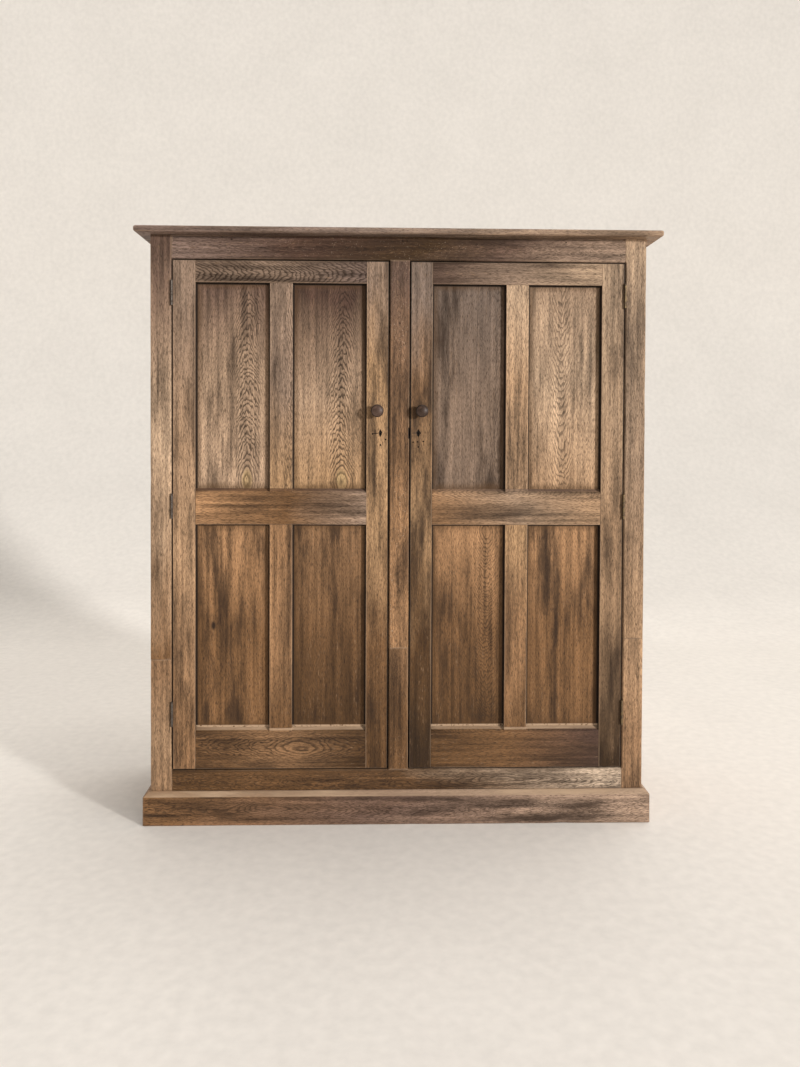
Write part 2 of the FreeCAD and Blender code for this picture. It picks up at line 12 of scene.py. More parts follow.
import bmesh
import bpy
from mathutils import Matrix, Vector, noise


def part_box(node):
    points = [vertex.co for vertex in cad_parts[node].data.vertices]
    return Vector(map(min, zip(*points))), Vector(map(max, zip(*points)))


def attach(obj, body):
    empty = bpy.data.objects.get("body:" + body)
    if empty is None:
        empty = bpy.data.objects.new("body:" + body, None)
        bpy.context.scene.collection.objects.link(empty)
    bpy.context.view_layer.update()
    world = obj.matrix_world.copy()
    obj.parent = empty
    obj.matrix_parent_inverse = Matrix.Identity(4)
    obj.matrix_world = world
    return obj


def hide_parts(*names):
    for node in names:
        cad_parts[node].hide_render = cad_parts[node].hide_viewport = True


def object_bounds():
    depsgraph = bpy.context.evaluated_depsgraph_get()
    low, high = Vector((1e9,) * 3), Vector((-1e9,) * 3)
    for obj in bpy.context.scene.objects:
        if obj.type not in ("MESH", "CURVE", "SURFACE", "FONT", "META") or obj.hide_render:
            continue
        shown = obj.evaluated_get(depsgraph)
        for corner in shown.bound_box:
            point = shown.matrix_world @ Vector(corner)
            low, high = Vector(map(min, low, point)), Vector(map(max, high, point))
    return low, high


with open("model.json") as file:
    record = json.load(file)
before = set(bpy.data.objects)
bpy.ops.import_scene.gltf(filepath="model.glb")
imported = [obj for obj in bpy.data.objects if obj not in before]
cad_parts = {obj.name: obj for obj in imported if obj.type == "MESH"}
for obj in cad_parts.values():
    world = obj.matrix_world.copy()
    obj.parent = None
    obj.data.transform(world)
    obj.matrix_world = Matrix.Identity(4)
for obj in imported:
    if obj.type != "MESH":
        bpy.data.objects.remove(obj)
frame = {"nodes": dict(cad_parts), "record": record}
CAD_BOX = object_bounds()

MM = 0.001
X, Y, Z = 0, 1, 2
SIDES = ("left", "right")

# Linear colours of the grime, the stains and the bare oak, from dark to light.
# GRIME_AND_SHADE also paints shade, and the stain tones also paint light and shade.
GRIME_AND_SHADE = (0.018, 0.012, 0.009)
BLACKENED = (0.036, 0.020, 0.012)
EBONY = (0.052, 0.028, 0.012)
BISTRE = (0.080, 0.044, 0.031)
DARK_WALNUT = (0.100, 0.050, 0.020)
UMBER = (0.125, 0.076, 0.055)
WALNUT = (0.165, 0.084, 0.036)
PLUM = (0.205, 0.140, 0.112)
SLATE = (0.225, 0.162, 0.125)
TAUPE = (0.300, 0.205, 0.145)
CHESTNUT = (0.330, 0.180, 0.088)
NEW_WOOD = (0.365, 0.208, 0.110)
SAND = (0.385, 0.258, 0.168)
HONEY = (0.420, 0.252, 0.130)
INNER_WOOD = (0.430, 0.300, 0.185)
TAN = (0.465, 0.288, 0.165)
FAWN = (0.500, 0.345, 0.225)
GOLD = (0.560, 0.380, 0.185)
PARCHMENT = (0.580, 0.440, 0.320)


class Look:
    """How one board is stained and how its growth rings meet its face.

    tones_and_light run from the board's low end to its high end, and shade lightens or darkens them all.
    Beside the board's staining, the tones paint light and shade, such as a darker top and foot.
    heart is the middle of the arches: a share of the board's length and of its width, each from
    0 to 1, where a share far outside gives straight grain. steep is how fast the rings run out
    along the board, nest is how wide the arches are, rings is how many there are in a metre of
    wood and lines is how dark they are. smudge is how much dark grime lies on the board, glow is how
    golden its heart is, knot is where its knot lies, in shares like those of heart,
    top_edge_shading_and_wear is the tone of its worn or dirty upper edge, which also paints light on
    sills and chamfers that face up and shade on the mid rails below the upper panels, and specks is how
    much spilt paint it carries.
    """

    def __init__(self, tones_and_light, heart=(0.5, 4.0), steep=0.02, nest=0.02, rings=330, lines=0.3,
                 shade=1.0, smudge=0.45, glow=0.0, knot=None, top_edge_shading_and_wear=None, specks=0.0):
        self.tones_and_light = tones_and_light
        self.heart = heart
        self.steep = steep
        self.nest = nest
        self.rings = rings
        self.lines = lines
        self.shade = shade
        self.smudge = smudge
        self.glow = glow
        self.knot = knot
        self.top_edge_shading_and_wear = top_edge_shading_and_wear
        self.specks = specks


# The tone ramps paint light and shade as well as staining: darker tops and feet, a dark frame top rail.
LOOKS = {
    "top_board": Look((PLUM, SLATE, SAND), (0.4, 0.3), 0.03, shade=0.82),
    "frame_top_rail": Look((PLUM, BISTRE, EBONY, UMBER, TAUPE), (0.3, 0.4), 0.05, lines=0.4, shade=0.86,
                           specks=0.3),
    "frame_bottom_rail": Look((DARK_WALNUT, WALNUT, PARCHMENT), (0.7, 0.5), 0.06, lines=0.6, shade=0.77,
                              smudge=0.7),
    "stile_left": Look((WALNUT, FAWN, UMBER), (0.2, 3.0), shade=0.84),
    "stile_left_foot": Look((NEW_WOOD, TAN, NEW_WOOD), (0.5, -2.0), shade=0.57),
    "stile_right": Look((TAN, SAND, FAWN), (0.5, -2.5), shade=0.68, smudge=0.5),
    "stile_right_foot": Look((NEW_WOOD, NEW_WOOD, TAN), (0.5, 3.0), shade=0.72),
    "centre_post": Look((CHESTNUT, CHESTNUT, UMBER), (0.4, 0.5), 0.04, shade=0.84, smudge=0.8, specks=0.8),
    "centre_post_foot": Look((WALNUT, WALNUT, CHESTNUT), (0.5, 3.0), shade=0.76, specks=0.3),
    "plinth_front": Look((WALNUT, UMBER, TAUPE), (0.25, 0.4), 0.06, lines=0.5, shade=1.05, smudge=1.1,
                         top_edge_shading_and_wear=FAWN),
    "plinth_left": Look((UMBER, WALNUT, UMBER), (0.5, 2.0), top_edge_shading_and_wear=TAN),
    "plinth_right": Look((SLATE, TAUPE, WALNUT), (0.5, 2.0), top_edge_shading_and_wear=FAWN),
    "side_left": Look((WALNUT, CHESTNUT, PLUM), (0.1, 0.45), 0.40, 0.030, 170, 0.7),
    "side_right": Look((WALNUT, CHESTNUT, TAUPE), (0.2, 0.55), 0.40, 0.030, 170, 0.7),
    "left_door_hinge_stile": Look((CHESTNUT, TAN, TAUPE), (0.5, 3.5), shade=0.69, smudge=0.6),
    "left_door_lock_stile": Look((DARK_WALNUT, WALNUT, HONEY, HONEY, TAUPE), (0.3, -2.0), shade=0.76,
                                 smudge=0.9),
    "left_door_top_rail": Look((TAUPE, TAUPE, PLUM), (-0.3, 0.45), 0.45, 0.024, 130, 0.8, shade=0.62),
    "left_door_mid_rail": Look((CHESTNUT, WALNUT, TAUPE), (0.55, -0.3), 0.30, 0.024, 180, 0.6, shade=0.98,
                               top_edge_shading_and_wear=BISTRE),
    "left_door_bottom_rail": Look((WALNUT, CHESTNUT, DARK_WALNUT), (0.62, 0.55), 0.22, 0.020, 190, 0.7,
                                  shade=0.64, top_edge_shading_and_wear=FAWN),
    "left_door_upper_muntin": Look((HONEY, TAUPE, TAUPE), (0.9, 1.1), 0.12, 0.02, 230, 0.6, shade=0.76),
    "left_door_lower_muntin": Look((WALNUT, CHESTNUT, CHESTNUT), (0.5, -1.8), shade=0.80),
    "left_door_upper_outer_panel": Look((SAND, SAND, UMBER), (0.05, 0.70), 0.33, 0.020, 160, 0.78,
                                        glow=0.75),
    "left_door_upper_inner_panel": Look((HONEY, SAND, BISTRE), (0.05, 0.66), 0.33, 0.020, 155, 0.85,
                                        shade=0.83, glow=0.75),
    "left_door_lower_outer_panel": Look((WALNUT, WALNUT, CHESTNUT), (0.2, 1.4), 0.10, 0.024, 240, 0.4,
                                        shade=0.94, smudge=1.0, knot=(0.5, 0.25)),
    "left_door_lower_inner_panel": Look((DARK_WALNUT, WALNUT, CHESTNUT), (0.95, 1.6), 0.10, 0.030,
                                        200, 0.50, shade=0.62, smudge=1.2),
    "right_door_hinge_stile": Look((EBONY, TAN, FAWN), (0.5, 3.2), shade=0.58, smudge=0.8),
    "right_door_lock_stile": Look((EBONY, DARK_WALNUT, HONEY, CHESTNUT, SLATE), (0.4, -2.4), shade=0.66,
                                  smudge=1.0),
    "right_door_top_rail": Look((UMBER, TAUPE, FAWN), (0.5, -1.0), 0.30, 0.02, 220, 0.7, shade=0.64,
                                smudge=0.9),
    "right_door_mid_rail": Look((CHESTNUT, SAND, TAN), (0.35, 0.95), 0.30, 0.020, 200, 0.4, shade=0.64,
                                smudge=0.6, top_edge_shading_and_wear=UMBER),
    "right_door_bottom_rail": Look((DARK_WALNUT, WALNUT, BISTRE), (0.4, 1.2), 0.30, 0.020, 200, 0.6,
                                   shade=0.80, smudge=0.8, top_edge_shading_and_wear=FAWN),
    "right_door_upper_muntin": Look((TAN, TAN, FAWN), (0.5, 2.8), shade=0.76, smudge=0.2),
    "right_door_lower_muntin": Look((WALNUT, CHESTNUT, HONEY), (0.5, -2.0), shade=0.80),
    "right_door_upper_outer_panel": Look((TAN, FAWN, SAND), (1.5, 0.46), 0.30, 0.012, 130, 0.55, shade=0.84,
                                         smudge=0.3),
    "right_door_upper_inner_panel": Look((TAUPE, TAUPE, SLATE), (0.2, 0.9), 0.12, 0.02, 220, 0.4, shade=0.56,
                                         smudge=1.0),
    "right_door_lower_outer_panel": Look((WALNUT, WALNUT, CHESTNUT), (0.5, 1.9), 0.07, lines=0.5, shade=0.90,
                                         smudge=1.0),
    "right_door_lower_inner_panel": Look((DARK_WALNUT, WALNUT, CHESTNUT), (0.96, 0.74), 0.40, 0.016,
                                         190, 0.5, shade=0.86, smudge=0.9),
    "shelf_lower": Look((INNER_WOOD,) * 3, (0.5, 0.5), 0.06),
    "shelf_middle": Look((INNER_WOOD,) * 3, (0.3, 0.7), 0.06),
    "shelf_upper": Look((INNER_WOOD,) * 3, (0.7, 0.3), 0.06),
    "bottom_board": Look((INNER_WOOD,) * 3, (0.4, 0.4), 0.06),
    "back_boards": Look((INNER_WOOD, SAND, INNER_WOOD), (0.5, 0.5), 0.05),
    "shelf_side_cleats": Look((INNER_WOOD,) * 3),
    "shelf_back_cleats": Look((INNER_WOOD,) * 3),
    "door_stops": Look((CHESTNUT,) * 3),
}
BACK_BOARDS = 6
# The nodes of plain inner boards, which keep their CAD shape.
PLAIN_GROUPS = ("back_boards", "shelf_side_cleats", "shelf_back_cleats", "door_stops")
# How deep a panel's edge sits in the groove of its frame.
TONGUE = 8 * MM
BODY_OF = {
    node: body
    for body, members in frame["record"]["behaviour"]["bodies"].items()
    for node in members
}


# Node trees


class Tree:
    """A short way to write a material's nodes."""

    def __init__(self, name):
        self.material = bpy.data.materials.new(name)
        self.material.use_nodes = True
        self.tree = self.material.node_tree
        self.shader = self.tree.nodes["Principled BSDF"]

    def feed(self, socket, value):
        """Link an output, or set a constant."""
        if isinstance(value, bpy.types.NodeSocket):
            self.tree.links.new(value, socket)
        else:
            socket.default_value = value

    def add(self, kind, **settings):
        made = self.tree.nodes.new(kind)
        for name, value in settings.items():
            setattr(made, name, value)
        return made

    def math(self, operation, first, second=0.0, third=0.0):
        made = self.add("ShaderNodeMath", operation=operation)
        for socket, value in zip(made.inputs, (first, second, third)):
            self.feed(socket, value)
        return made.outputs[0]

    def total(self, *values):
        result = values[0]
        for value in values[1:]:
            result = self.math("ADD", result, value)
        return result

    def product(self, *values):
        result = values[0]
        for value in values[1:]:
            result = self.math("MULTIPLY", result, value)
        return result

    def least(self, *values):
        result = values[0]
        for value in values[1:]:
            result = self.math("MINIMUM", result, value)
        return result

    def swing(self, value, amount):
        """A noise from 0 to 1, turned into a change of half the amount up or down."""
        return self.math("MULTIPLY_ADD", value, amount, -amount / 2)

    def smooth(self, value, low, high, start=0.0, end=1.0):
        """A soft step from start to end as the value goes from low to high."""
        made = self.add("ShaderNodeMapRange", interpolation_type="SMOOTHSTEP")
        for socket, number in zip(made.inputs, (value, low, high, start, end)):
            self.feed(socket, number)
        return made.outputs[0]

    def vector(self, x, y, z):
        made = self.add("ShaderNodeCombineXYZ")
        for socket, value in zip(made.inputs, (x, y, z)):
            self.feed(socket, value)
        return made.outputs[0]

    def noise(self, vector, scale=1.0, detail=2.0, roughness=0.5):
        made = self.add("ShaderNodeTexNoise")
        self.feed(made.inputs["Vector"], vector)
        made.inputs["Scale"].default_value = scale
        made.inputs["Detail"].default_value = detail
        made.inputs["Roughness"].default_value = roughness
        return made.outputs["Fac"]

    def ramp(self, value, stops):
        made = self.add("ShaderNodeValToRGB")
        self.feed(made.inputs[0], value)
        elements = made.color_ramp.elements
        for index, (place, colour) in enumerate(stops):
            element = elements[index] if index < 2 else elements.new(place)
            element.position = place
            element.color = (*colour, 1.0)
        return made.outputs[0]

    def mix(self, share, first, second, blend="MIX"):
        made = self.add("ShaderNodeMix", data_type="RGBA", blend_type=blend)
        self.feed(made.inputs[0], share)
        for socket, value in zip((made.inputs[6], made.inputs[7]), (first, second)):
            self.feed(socket, value if isinstance(value, bpy.types.NodeSocket) else (*value, 1.0))
        return made.outputs[2]

    def place(self):
        """The point's x, y and z in the object's own frame."""
        made = self.add("ShaderNodeSeparateXYZ")
        self.feed(made.inputs[0], self.add("ShaderNodeTexCoord").outputs["Object"])
        return list(made.outputs)

    def bump(self, height, distance, strength=1.0):
        made = self.add("ShaderNodeBump")
        made.inputs["Distance"].default_value = distance
        made.inputs["Strength"].default_value = strength
        self.feed(made.inputs["Height"], height)
        self.feed(self.shader.inputs["Normal"], made.outputs[0])


def board_axes(node):
    """The axes along a board's length, width and thickness."""
    low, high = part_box(node)
    size = high - low
    if node == "shelf_side_cleats":
        return Y, Z, X
    if node in ("shelf_back_cleats", "door_stops"):
        return X, Z, Y
    if node == "back_boards":
        return Z, X, Y
    return tuple(sorted((X, Y, Z), key=lambda axis: -size[axis]))


def edge_distance(tree, point, low, high):
    """How far a point on a block's surface is from the block's nearest edge."""
    gaps = []
    for axis in (X, Y, Z):
        to_low = tree.math("SUBTRACT", point[axis], low[axis])
        to_high = tree.math("SUBTRACT", high[axis], point[axis])
        gaps.append(tree.math("MAXIMUM", tree.math("MINIMUM", to_low, to_high), 0.0))
    smaller = tree.math("MINIMUM", gaps[0], gaps[1])
    larger = tree.math("MAXIMUM", gaps[0], gaps[1])
    return tree.math("MAXIMUM", smaller, tree.math("MINIMUM", larger, gaps[2]))


def seed_of(node):
    """A steady offset for a board's own noise."""
    return 3.7 * (sorted(LOOKS).index(node) + 1)


def grain_space(tree, along, across, deep, seed, fine, long):
    """A stretched space for noise: fine across the grain, long along it."""
    return tree.vector(tree.product(across, fine), tree.product(deep, fine),
                       tree.math("MULTIPLY_ADD", along, long, seed))


def ring_depth(tree, node, along, across, deep, seed):
    """How deep in the log a point lies, in rings, how clearly they show, and the pale heart.

    The rings are nested arches round the heart of the board.
    """
    look = LOOKS[node]
    low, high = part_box(node)
    length, width, thickness = board_axes(node)
    drift = tree.noise(grain_space(tree, along, across, deep, seed, 6.0, 2.6), 1.0, 2.0)
    swell = tree.noise(grain_space(tree, along, across, deep, seed + 3.0, 9.0, 16.0), 1.0, 2.0)
    jag = tree.noise(grain_space(tree, along, across, deep, seed + 5.0, 120.0, 30.0), 1.0, 1.5)
    to_end = tree.math("SUBTRACT", along, low[length] + look.heart[0] * (high[length] - low[length]))
    to_side = tree.math("SUBTRACT", across, low[width] + look.heart[1] * (high[width] - low[width]))
    to_side = tree.total(to_side, tree.swing(drift, 0.06))
    bow = tree.math("SQRT", tree.math("ADD", tree.math("POWER", to_side, 2.0), look.nest ** 2))
    run = tree.math("SQRT", tree.math("ADD", tree.math("POWER", to_end, 2.0), 0.02 ** 2))
    depth = tree.total(bow, -look.nest, tree.product(run, look.steep), -0.02 * look.steep)
    heart = tree.smooth(depth, 0.003, 0.010, 1.0, 0.0)
    rough = tree.smooth(depth, 0.004, 0.030, 0.25, 1.0)
    depth = tree.total(depth,
                       tree.swing(drift, 0.05),
                       tree.product(rough, tree.swing(swell, 0.016)),
                       tree.product(rough, tree.swing(jag, 0.012)),
                       tree.product(tree.math("SUBTRACT", deep, low[thickness]), 0.35))
    clear = tree.smooth(bow, look.nest * 1.3, look.nest * 1.3 + 0.025, 1.0, 0.22)
    return tree.product(depth, look.rings), clear, heart


def near_knot(tree, node, along, across):
    """How far a point is from the middle of the board's knot."""
    look = LOOKS[node]
    low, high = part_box(node)
    length, width, _ = board_axes(node)
    to_end = tree.math("SUBTRACT", along, low[length] + look.knot[0] * (high[length] - low[length]))
    to_side = tree.math("SUBTRACT", across, low[width] + look.knot[1] * (high[width] - low[width]))
    reach = tree.add("ShaderNodeVectorMath", operation="LENGTH")
    tree.feed(reach.inputs[0], tree.vector(to_side, 0.0, tree.product(to_end, 0.5)))
    return reach.outputs["Value"]


def panel_rim_shade_and_grime(tree, node, point, cloud):
    """Where a panel enters its frame: grime and painted shade in the corner, brown beyond,
    and pale dusty specks at its foot that also paint the light on the sill below.
    """
    low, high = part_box(node)
    rims = []
    for axis in board_axes(node)[:2]:
        rims.append(tree.math("SUBTRACT", point[axis], low[axis] + TONGUE))
        rims.append(tree.math("SUBTRACT", high[axis] - TONGUE, point[axis]))
    rim = tree.least(*rims)
    uneven = tree.math("ADD", rim, tree.swing(cloud, 0.016))
    # The corner paints the shade of the recess, with grime, along every rim but the low end.
    corner = tree.smooth(tree.least(*rims[1:]), 2.5 * MM, 7.0 * MM, 0.94, 0.0)
    halo = tree.smooth(uneven, 0.0, 0.026, 0.60, 0.0)
    # Pale dusty specks at the foot, also painting the light on the sill below.
    lumps = tree.noise(tree.vector(*point), 130.0, 3.0)
    foot_dust_and_light = tree.product(tree.smooth(rims[0], 4.0 * MM, 7.0 * MM, 0.9, 0.0),
                        tree.smooth(lumps, 0.26, 0.50))
    return corner, halo, foot_dust_and_light


def recess_grime_and_shade(tree, node, point):
    """Grime and painted shade on the edges of door members that face a panel, behind the front face."""
    low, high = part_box(node)
    behind = tree.math("SUBTRACT", point[Y], low.y)
    inside = tree.product(tree.smooth(behind, 1.2 * MM, 4.0 * MM),
                          tree.smooth(behind, 15 * MM, 17 * MM, 1.0, 0.0))
    left = tree.smooth(tree.math("SUBTRACT", point[X], low.x), 0.8 * MM, 2.0 * MM, 1.0, 0.0)
    right = tree.smooth(tree.math("SUBTRACT", high.x, point[X]), 0.8 * MM, 2.0 * MM, 1.0, 0.0)
    under = tree.smooth(tree.math("SUBTRACT", point[Z], low.z), 0.8 * MM, 2.0 * MM, 1.0, 0.0)
    if node.endswith("muntin"):
        wall = tree.math("MAXIMUM", left, right)
    elif node.endswith("stile"):
        wall = right if node in ("left_door_hinge_stile", "right_door_lock_stile") else left
    else:
        wall = under
    return tree.product(inside, wall, 0.92)


def gap_shade_and_grime(tree, node, point):
    """Grime and painted shade round the outline of a door's front face, beside the gap."""
    side = node.split("_")[0]
    boxes = [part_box(f"{side}_door_{stile}_stile") for stile in ("hinge", "lock")]
    low = Vector(min(box[0][axis] for box in boxes) for axis in (X, Y, Z))
    high = Vector(max(box[1][axis] for box in boxes) for axis in (X, Y, Z))
    gaps = []
    for axis in (X, Z):
        gaps.append(tree.math("SUBTRACT", point[axis], low[axis]))
        gaps.append(tree.math("SUBTRACT", high[axis], point[axis]))
    gap = tree.least(*gaps)
    behind = tree.math("SUBTRACT", point[Y], low.y)
    return tree.product(tree.smooth(gap, 1.2 * MM, 3.6 * MM, 0.94, 0.0),
                        tree.smooth(behind, 4.0 * MM, 8.0 * MM, 1.0, 0.0))


def back_joints(tree, node, across):
    """How far each back board's tone differs from the middle, and the dark joints between boards."""
    low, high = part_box(node)
    place = tree.math("DIVIDE", tree.math("SUBTRACT", across, low.x), (high.x - low.x) / BACK_BOARDS)
    number = tree.math("FLOOR", place)
    chance = tree.math("FRACT", tree.product(tree.math("SINE", tree.product(number, 12.9)), 437.0))
    tint = tree.swing(chance, 0.7)
    inside = tree.math("FRACT", place)
    joint = tree.math("MINIMUM", inside, tree.math("SUBTRACT", 1.0, inside))
    return tint, tree.smooth(joint, 0.008, 0.022, 0.9, 0.0)


class Grain:
    """What one board's wood is like from point to point, as outputs of shader nodes.

    cloud, smear, streak and fleck are noises, from broad to fine. early is the dark early wood of
    the rings, heart the pale middle of the arches, and plain how little the rings show. pores and
    flecks are the dark marks in between.
    """

    def __init__(self, tree, node, point):
        look = LOOKS[node]
        seed = seed_of(node)
        self.along, self.across, deep = (point[axis] for axis in board_axes(node))
        place = (self.along, self.across, deep)

        def stretched(shift, fine, long, *detail):
            return tree.noise(grain_space(tree, *place, seed + shift, fine, long), 1.0, *detail)

        self.cloud = stretched(9.0, 11.0, 2.4, 6.0, 0.62)
        self.smear = stretched(13.0, 34.0, 4.5, 5.0, 0.62)
        self.streak = stretched(17.0, 90.0, 2.2, 3.0, 0.6)
        self.fleck = stretched(21.0, 330.0, 50.0, 2.0, 0.6)
        self.pores = tree.smooth(stretched(25.0, 900.0, 80.0, 1.0), 0.50, 0.64)
        self.flecks = tree.smooth(self.fleck, 0.48, 0.62)

        ring, clear, self.heart = ring_depth(tree, node, *place, seed)
        if look.knot:
            self.knot = near_knot(tree, node, self.along, self.across)
            ring = tree.total(ring, tree.smooth(self.knot, 0.0, 0.045, 6.0, 0.0))
        ring = tree.math("FRACT", ring)
        early = tree.total(tree.smooth(ring, 0.0, 0.10), tree.smooth(ring, 0.20, 0.58, 0.0, -1.0))
        self.early = tree.product(early, clear)
        self.plain = tree.math("MULTIPLY_ADD", clear, -0.5 * min(look.lines, 1.0), 1.0)
        if node == "back_boards":
            self.tint, self.joint = back_joints(tree, node, self.across)


def stained_and_lit_wood(tree, node, grain):
    """Staining and painted light and shade along the board, lighter and darker with its grain."""
    look = LOOKS[node]
    low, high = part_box(node)
    length = board_axes(node)[0]
    share = tree.math("DIVIDE", tree.math("SUBTRACT", grain.along, low[length]), high[length] - low[length])
    share = tree.math("ADD", share, tree.swing(grain.cloud, 0.5))
    spacing = 0.92 / (len(look.tones_and_light) - 1)
    # The ramp is staining and painted light and shade together.
    stain_and_light = tree.ramp(share, [(0.04 + spacing * number, tone) for number, tone in enumerate(look.tones_and_light)])
    brightness = tree.total(
        1.48,
        tree.swing(grain.cloud, 1.70),
        tree.swing(grain.smear, 1.80),
        tree.swing(grain.streak, 2.50),
        tree.product(grain.plain, tree.swing(grain.fleck, 3.30)),
        tree.product(grain.early, -0.75 * look.lines),
        tree.product(grain.flecks, grain.plain, -0.65),
    )
    if node == "back_boards":
        brightness = tree.math("ADD", brightness, grain.tint)
    brightness = tree.product(tree.math("MAXIMUM", brightness, 0.16), look.shade)
    return tree.mix(1.0, stain_and_light, tree.vector(brightness, brightness, brightness), "MULTIPLY")


def marked_wood(tree, node, grain, colour):
    """The marks on the stain: golden heart, rubbed flecks, pores, rings, grime, knot and joints."""
    look = LOOKS[node]
    colour = tree.mix(tree.product(grain.heart, look.glow), colour, GOLD)
    rubbed = tree.product(tree.smooth(grain.fleck, 0.44, 0.26), tree.smooth(grain.streak, 0.42, 0.60), 0.45)
    colour = tree.mix(rubbed, colour, TAN)
    colour = tree.mix(tree.product(grain.pores, 0.65), colour, BLACKENED)
    colour = tree.mix(tree.product(grain.early, min(0.60 * look.lines, 0.8)), colour, BLACKENED)
    grime = tree.product(tree.smooth(grain.smear, 0.62, 0.40), tree.smooth(grain.cloud, 0.58, 0.40),
                         0.72 * look.smudge)
    colour = tree.mix(grime, colour, BLACKENED)
    if look.knot:
        colour = tree.mix(tree.smooth(grain.knot, 0.003, 0.010, 0.92, 0.0), colour, GRIME_AND_SHADE)
    if node == "back_boards":
        colour = tree.mix(grain.joint, colour, GRIME_AND_SHADE)
    return colour


def edge_wear_and_shade(tree, node, point, grain, colour):
    """Wear and grime where the board ends or meets its neighbours, with painted light and shade there."""
    look = LOOKS[node]
    low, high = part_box(node)
    if node.endswith("panel"):
        corner, halo, foot_dust_and_light = panel_rim_shade_and_grime(tree, node, point, grain.cloud)
        colour = tree.mix(halo, colour, DARK_WALNUT)
        colour = tree.mix(corner, colour, GRIME_AND_SHADE)
        if "lower" in node:
            colour = tree.mix(foot_dust_and_light, colour, FAWN)
    elif node not in PLAIN_GROUPS:
        gap = edge_distance(tree, point, low, high)
        uneven = tree.math("ADD", gap, tree.swing(grain.smear, 0.010))
        colour = tree.mix(tree.smooth(uneven, 0.0, 0.0042, 0.40, 0.0), colour, SAND)
    # Upper edge: wear and grime, with painted light on sills facing up and painted shade under upper panels.
    if look.top_edge_shading_and_wear:
        band = 13 * MM if node.startswith("plinth") else 7 * MM
        foot = high.z - band
        worn = tree.product(tree.smooth(point[Z], foot - 1.5 * MM, foot + 0.5 * MM),
                            tree.smooth(grain.smear, 0.30, 0.62, 0.95, 0.45))
        colour = tree.mix(worn, colour, look.top_edge_shading_and_wear)
    if "_door_" in node and not node.endswith(("panel", "bottom_rail")):
        # Painted shade with grime on the recess walls round the panels.
        colour = tree.mix(recess_grime_and_shade(tree, node, point), colour, GRIME_AND_SHADE)
    if "_door_" in node:
        # Painted shade with grime along the door's outline, widening the dark gap line.
        colour = tree.mix(gap_shade_and_grime(tree, node, point), colour, GRIME_AND_SHADE)
    return colour


def oak(node):
    """The oak of one board: rings, pores, flecks, staining, grime, worn edges, painted light and shade."""
    look = LOOKS[node]
    tree = Tree(f"oak_{node}")
    point = tree.place()
    grain = Grain(tree, node, point)
    colour = stained_and_lit_wood(tree, node, grain)
    colour = marked_wood(tree, node, grain, colour)
    colour = edge_wear_and_shade(tree, node, point, grain, colour)
    if look.specks:
        speck = tree.noise(tree.vector(*point), 260.0, 3.0)
        spilt = tree.product(tree.smooth(speck, 0.66, 0.70), tree.smooth(grain.smear, 0.44, 0.58),
                             look.specks)
        colour = tree.mix(spilt, colour, PARCHMENT)
    tree.feed(tree.shader.inputs["Base Color"], colour)
    tree.shader.inputs["Specular IOR Level"].default_value = 0.14
    tree.feed(tree.shader.inputs["Roughness"],
              tree.total(0.46, tree.product(grain.pores, 0.25), tree.swing(grain.cloud, 0.30)))
    height = tree.total(tree.product(grain.pores, -0.8), tree.product(grain.early, -0.4),
                        tree.product(grain.flecks, -0.5))
    tree.bump(height, 0.4 * MM, 0.6)
    return tree.material


def metal(name, base, rust, roughness, scale=160.0):
    """Tarnished metal, with brown patches and a worn sheen."""
    tree = Tree(name)
    vector = tree.vector(*tree.place())
    patch = tree.noise(vector, scale, 4.0, 0.6)
    spots = tree.smooth(patch, 0.46, 0.62)
    tree.feed(tree.shader.inputs["Base Color"], tree.mix(spots, base, rust))
    tree.feed(tree.shader.inputs["Metallic"], tree.math("MULTIPLY_ADD", spots, -0.7, 1.0))
    tree.feed(tree.shader.inputs["Roughness"], tree.math("MULTIPLY_ADD", patch, 0.4, roughness - 0.2))
    tree.bump(patch, 0.15 * MM, 0.5)
    return tree.material


def turned_wood(name, node, base, rub):
    """Dark wood with turning lines, rubbed paler on its face, with grime and painted shade round its rim."""
    low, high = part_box(node)
    centre = (low + high) / 2
    tree = Tree(name)
    x, y, z = tree.place()
    x = tree.math("SUBTRACT", x, centre.x)
    z = tree.math("SUBTRACT", z, centre.z)
    reach = tree.math("SQRT", tree.total(tree.math("POWER", x, 2.0), tree.math("POWER", z, 2.0)))
    stretched = tree.vector(tree.product(x, 700.0), tree.product(y, 60.0), tree.product(z, 700.0))
    grain = tree.noise(stretched, 1.0, 3.0)
    lines = tree.noise(tree.vector(tree.product(reach, 2600.0), tree.product(y, 1400.0), 0.0), 1.0, 1.0)
    cloud = tree.noise(tree.vector(x, y, z), 90.0, 3.0)
    face = tree.product(tree.smooth(reach, 0.004, 0.011), tree.smooth(reach, 0.0165, 0.0130))
    worn = tree.product(tree.math("MAXIMUM", face, 0.25), tree.smooth(cloud, 0.32, 0.62))
    colour = tree.mix(tree.smooth(grain, 0.4, 0.7), base, BLACKENED)
    colour = tree.mix(tree.product(worn, 0.75), colour, rub)
    # Painted shade with grime round the rim, where it turns away from the light.
    colour = tree.mix(tree.smooth(reach, 0.0155, 0.0180, 0.0, 0.6), colour, GRIME_AND_SHADE)
    tree.feed(tree.shader.inputs["Base Color"], colour)
    tree.feed(tree.shader.inputs["Roughness"], tree.math("MULTIPLY_ADD", cloud, 0.20, 0.36))
    tree.shader.inputs["Specular IOR Level"].default_value = 0.3
    tree.bump(tree.total(lines, tree.product(grain, 0.6)), 0.12 * MM, 0.5)
    return tree.material


